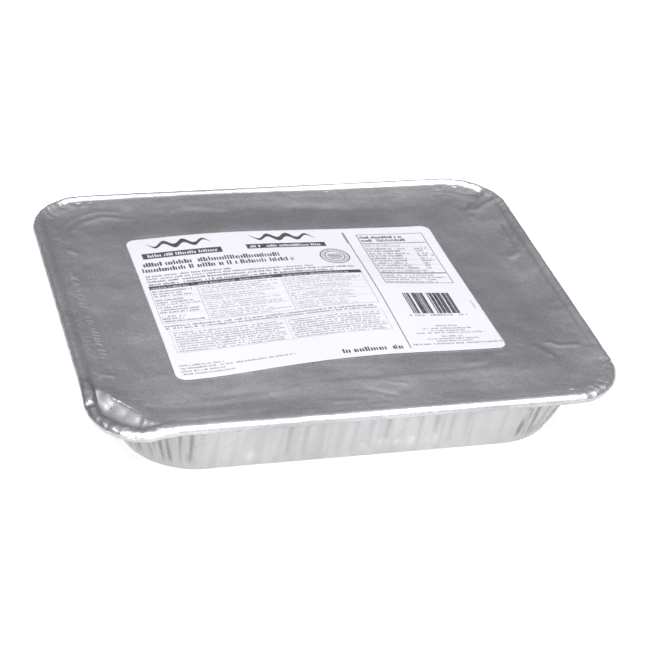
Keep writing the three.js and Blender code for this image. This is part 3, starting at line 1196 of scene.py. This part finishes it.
# The same in the paper's colour, over the dark fields.
PALE_DASHES = [
    *lines(0.8, 1.5, 0.14, 0.95, (-92.6, 52.9, -47.4, 56.9)),
    *lines(0.8, 1.4, 0.13, 0.95, (-25.4, 54.3, 23.4, 57.9)),
    (-98, 17.1, -70.6, 19.2, 2.1, 0.8, 0.95, 0.16, 4, 0.6),
    (-68.6, 17.1, -18.6, 19.2, 2.1, 0.8, 0.95, 0.16, 12, 0.6),
    (-14.4, 17.1, 36, 19.2, 2.1, 0.8, 0.95, 0.16, 12, 0.6),
]

# How much lower some dashes are than others, and how many are, their least width and how much
# it grows, and how far the seeds of the rows lie apart.
UNEVEN = 0.28
LOW_SHARE = 0.6
LEAST_WIDTH = 0.5
MORE_WIDTH = 0.3
SEED_STEP = 3.7

# Two sets of upright stripes over one another, each with its unevenness and seed.
STRIPES = (
    (56, -34.2, 87.8, -9.7, 40, 1, 1.33, 0.3, 0, 1, 0, 5.5),
    (56, -34.2, 87.8, -9.7, 40, 1, 2.9, 0.35, 0, 0.95, 0, 8.1),
)

# Wavy flourishes: middle, level and half length, and how steep, high and thick they are.
WAVES = ((-69.6, 66.9, 21.5), (-0.8, 67.4, 22.5))
WAVE_TURN = 0.49
WAVE_RISE = 2.6
WAVE_THICKNESS = 2.5

# A round mark: its place, its rings' radii and half widths, and what lies between them.
RINGS_PLACE = (26.8, 39.3)
RINGS = ((9.5, 0.4), (6.7, 0.22), (6.1, 0.16))
RING_STROKES = 40
RING_BAND = (7.5, 8.5)
BAR_PITCH = 1.9
BARS_HIGH = 3.8
BARS_REACH = 4.9


def chance(column, row, seed, spread=(12.9898, 78.233, 4375.85)):
    """A random number for a cell, the same all over it."""
    cell = sine(times_plus(row, spread[1], times_plus(column, spread[0], seed)))
    return fraction(times(cell, spread[2]))


def dash_group():
    """Rows of short upright dashes with gaps, like small print that is too far off to read."""
    names = "Left Low Right High Pitch Share Stroke Gaps Ragged Dark Uneven Seed"
    along, up, before, *given = start_group("ink dashes", names)
    left, low, right, high, pitch, share, stroke, gaps, ragged, dark, uneven, seed = given
    down = over(minus(high, up), pitch)
    row = whole(down)
    end = minus(right, times(chance(-7.0, row, seed), ragged))
    across = over(minus(along, left), stroke)
    kept = chance(whole(across), row, seed)
    widest = times_plus(fraction(times(kept, 37.0)), MORE_WIDTH, LEAST_WIDTH)
    lowered = times(below(fraction(times(kept, 91.0)), LOW_SHARE), uneven)
    height = times(share, minus(1.0, lowered))
    dash = times(below(fraction(across), widest), above(kept, gaps))
    dash = times(dash, above(plus(fraction(down), height), 1.0))
    inside = in_field(along, up, left, low, end, high)
    return end_group(times(times(inside, dash), dark), before)


def wave(along, up, middle, level, half):
    """A plain wavy flourish that tapers to both ends."""
    along = minus(along, middle)
    away = maths("ABSOLUTE", minus(up, times_plus(sine(times(along, WAVE_TURN)), WAVE_RISE, level)))
    share = over(along, half)
    return below(away, times(minus(1.0, times(share, share)), WAVE_THICKNESS))


def rings(along, up):
    """A plain round mark: rings, strokes between them and bars in the middle."""
    along = minus(along, RINGS_PLACE[0])
    up = minus(up, RINGS_PLACE[1])
    away = maths("SQRT", plus(times(along, along), times(up, up)))
    turn = times(maths("ARCTAN2", up, along), RING_STROKES / (2 * math.pi))
    ink = times(below(fraction(turn), 0.45), within(away, *RING_BAND))
    for radius, half in RINGS:
        ink = most(ink, within(away, radius - half, radius + half))
    bar = times(below(fraction(over(up, BAR_PITCH)), 0.5), within(up, -BARS_HIGH, BARS_HIGH))
    return most(ink, times(bar, below(away, BARS_REACH)))


def printed_paper(colour, ink_colour):
    """Coated white paper with a generic layout of print."""
    material, place, shader = new_material("printed paper")
    mapping = {
        "Vector": place,
        "Location": (LABEL_PLACE[0] * MM, LABEL_PLACE[1] * MM, 0),
        "Rotation": (0, 0, math.radians(LABEL_TURN)),
        "Scale": (MM, MM, MM),
    }
    place = follow("Mapping", mapping, vector_type="TEXTURE").outputs["Vector"]
    along, up, _ = follow("SeparateXYZ", {0: place}).outputs
    dash = dash_group()
    rows = [(*row, UNEVEN, SEED_STEP * number) for number, row in enumerate(DASHES)]
    pale_rows = [(*row, UNEVEN, SEED_STEP * number + 1) for number, row in enumerate(PALE_DASHES)]
    ink = print_all(along, up, 0.0, field_group(), FIELDS)
    ink = times(ink, minus(1.0, print_all(along, up, 0.0, dash, pale_rows)))
    ink = print_all(along, up, ink, dash, (*rows, *STRIPES))
    for row in WAVES:
        ink = most(ink, wave(along, up, *row))
    ink = most(ink, rings(along, up))
    ink = times(ink, mapped(noise_node(place, 0.9), 0.3, 0.7, 0.82, 1.0))
    cloud = mapped(noise_node(place, 0.02), 0.35, 0.65, 0, 1)
    paper = mix(cloud, opaque(colour, 0.965), opaque(colour))
    gloss = mapped(noise_node(place, 0.4, 4, 0.7), 0.3, 0.7, 0.42, 0.54)
    inputs = {
        "Base Color": mix(ink, paper, opaque(ink_colour)),
        "Roughness": minus(gloss, times(ink, 0.12)),
        "Specular IOR Level": 0.3,
        "Normal": bump(noise_node(place, 1.6, 5, 0.65), 0.00003, 0.35),
    }
    give(shader, inputs)
    return material


# ---------------------------------------------------------------- label

LABEL_STEPS = Steps(84, 60, 6)
LABEL_LIFT = 0.55
LABEL_WAVINESS = 0.05


class MEAL_OT_label(Operator):
    """Model the paper label, which follows the lid, and its print"""

    bl_idname = "meal.label"
    bl_label = "Paper label"

    def execute(self, context):
        settings = context.scene.meal_label
        piece = begin("paper_label")
        add_outline(piece, LABEL, PANEL_LEVEL, LABEL_STEPS)
        close_in([0.992] + [0.98 - 0.035 * step for step in range(28)], PANEL_LEVEL)
        end_edit(piece)
        piece.rotation_euler.z = math.radians(LABEL_TURN)
        piece.location = (LABEL_PLACE[0] * MM, LABEL_PLACE[1] * MM, 0)
        bpy.ops.object.transform_apply(location=True, rotation=True, scale=True)
        points = places(piece)
        waviness = LABEL_WAVINESS * noise_at(points, size=30, seed=12, octaves=2)
        displace(piece, "Z", swell(*points.T[:2]) + LABEL_LIFT + waviness)
        if piece.data.polygons[0].normal.z < 0:
            bpy.ops.object.mode_set(mode="EDIT")
            bpy.ops.mesh.select_all(action="SELECT")
            bpy.ops.mesh.flip_normals()
            bpy.ops.object.mode_set(mode="OBJECT")
        paper = piece.modifiers.new("paper", "SOLIDIFY")
        paper.thickness = settings.thickness
        paper.offset = -1
        bpy.ops.object.modifier_apply(modifier=paper.name)
        material = printed_paper(settings.colour, settings.ink)
        finish_piece(piece, material, "label")
        return {"FINISHED"}


# ---------------------------------------------------------------- stage

CAMERA_PLACE = (-0.343320, -1.021533, 0.714141)
CAMERA_HEADING = -19.0
CAMERA_TILT = 57.31
CAMERA_ROLL = 6.65
CAMERA_LENS = 112.717

FLOOR_SIZE = 9
FLOOR_CORNER = 3
FLOOR_GLOW = 0.56

# Softboxes, which are aimed at the origin: size and place.
KEY_BOX = ((3.2, 2.0), (0.0, -0.72, 2.1))
FILL_BOX = ((2.6, 1.2), (-0.5, -2.1, 0.7))


def add_softbox(name, power, size, place):
    bpy.ops.object.light_add(type="AREA", location=place)
    lamp = bpy.context.object
    lamp.name = name
    lamp.data.shape = "RECTANGLE"
    lamp.data.size, lamp.data.size_y = size
    lamp.data.energy = power
    lamp.rotation_euler = (-Vector(place)).to_track_quat("-Z", "Y").to_euler()


class MEAL_OT_stage(Operator):
    """Set up the pale floor, the soft studio light and the camera"""

    bl_idname = "meal.stage"
    bl_label = "Studio"

    def execute(self, context):
        settings = context.scene.meal_stage
        bpy.ops.object.select_all(action="DESELECT")
        bpy.ops.mesh.primitive_plane_add(size=1, location=(0, 0, 0))
        floor = context.object
        floor.name = "floor"
        bpy.ops.object.mode_set(mode="EDIT")
        bpy.ops.transform.resize(value=(FLOOR_SIZE, FLOOR_SIZE, 1), center_override=(0, 0, 0))
        bpy.ops.mesh.bevel(affect="VERTICES", offset=FLOOR_CORNER, segments=24)
        bpy.ops.mesh.select_all(action="SELECT")
        bpy.ops.mesh.extrude_region_move(TRANSFORM_OT_translate={"value": (0, 0, -0.02)})
        bpy.ops.mesh.select_all(action="SELECT")
        bpy.ops.mesh.normals_make_consistent(inside=False)
        bpy.ops.transform.translate(value=(0, 0, -0.0003))
        bpy.ops.object.mode_set(mode="OBJECT")
        material, place, shader = new_material("pale floor")
        cloud = mapped(noise_node(place, 6), 0.3, 0.7, 0, 1)
        pale = settings.floor_colour
        inputs = {
            "Base Color": mix(cloud, opaque(pale, 0.985), opaque(pale)),
            "Roughness": 0.8,
            "Specular IOR Level": 0.2,
            "Emission Color": (1, 1, 1, 1),
            "Emission Strength": FLOOR_GLOW,
        }
        give(shader, inputs)
        floor.data.materials.append(material)

        add_softbox("softbox", settings.key_power, *KEY_BOX)
        add_softbox("front fill", settings.fill_power, *FILL_BOX)

        # The studio glows softly from above, and in front from low down.
        world = bpy.data.worlds.new("studio")
        context.scene.world = world
        world.use_nodes = True
        ray = add(world.node_tree, "TexCoord").outputs["Generated"]
        _, forward, up = follow("SeparateXYZ", {0: ray}).outputs
        glow = most(mapped(up, 0.45, 0.8, 0.26, 0.52), mapped(forward, 0.15, -0.35, 0, 0.55))
        give(world.node_tree.nodes["Background"], {"Color": shade(glow, glow, times(glow, 1.03))})

        bpy.ops.object.camera_add()
        camera = context.object
        camera.name = "camera"
        camera.data.lens = CAMERA_LENS
        camera.data.sensor_width = 36
        camera.data.clip_start = 0.05
        camera.data.clip_end = 60
        turn = Matrix.Rotation(math.radians(CAMERA_HEADING), 4, "Z")
        tilt = Matrix.Rotation(math.radians(CAMERA_TILT), 4, "X")
        roll = Matrix.Rotation(math.radians(CAMERA_ROLL), 4, "Z")
        camera.matrix_world = Matrix.Translation(CAMERA_PLACE) @ turn @ tilt @ roll
        context.scene.camera = camera
        context.scene.view_settings.view_transform = "Standard"
        return {"FINISHED"}


# ---------------------------------------------------------------- add-on


class MEAL_PT_panel(Panel):
    """Lists the pieces of the meal"""

    bl_idname = "MEAL_PT_panel"
    bl_label = "Foil tray meal"
    bl_space_type = "VIEW_3D"
    bl_region_type = "UI"
    bl_category = "Foil tray meal"

    def draw(self, context):
        for name in SETTINGS:
            box = self.layout.box()
            settings = getattr(context.scene, name)
            for key in settings.__annotations__:
                box.prop(settings, key)
            box.operator(name.replace("_", "."))


SETTINGS = {
    "meal_stage": StageSettings,
    "meal_tray": TraySettings,
    "meal_lid": LidSettings,
    "meal_label": LabelSettings,
}
OPERATORS = (MEAL_OT_stage, MEAL_OT_tray, MEAL_OT_lid, MEAL_OT_label)
CLASSES = (*SETTINGS.values(), *OPERATORS, MEAL_PT_panel)


def register():
    for kind in CLASSES:
        bpy.utils.register_class(kind)
    for name, kind in SETTINGS.items():
        setattr(bpy.types.Scene, name, PointerProperty(type=kind))


def unregister():
    for name in SETTINGS:
        delattr(bpy.types.Scene, name)
    for kind in reversed(CLASSES):
        bpy.utils.unregister_class(kind)


def main():
    register()
    bpy.ops.meal.stage()
    bpy.ops.meal.tray()
    bpy.ops.meal.lid()
    bpy.ops.meal.label()


if __name__ == "__main__":
    main()
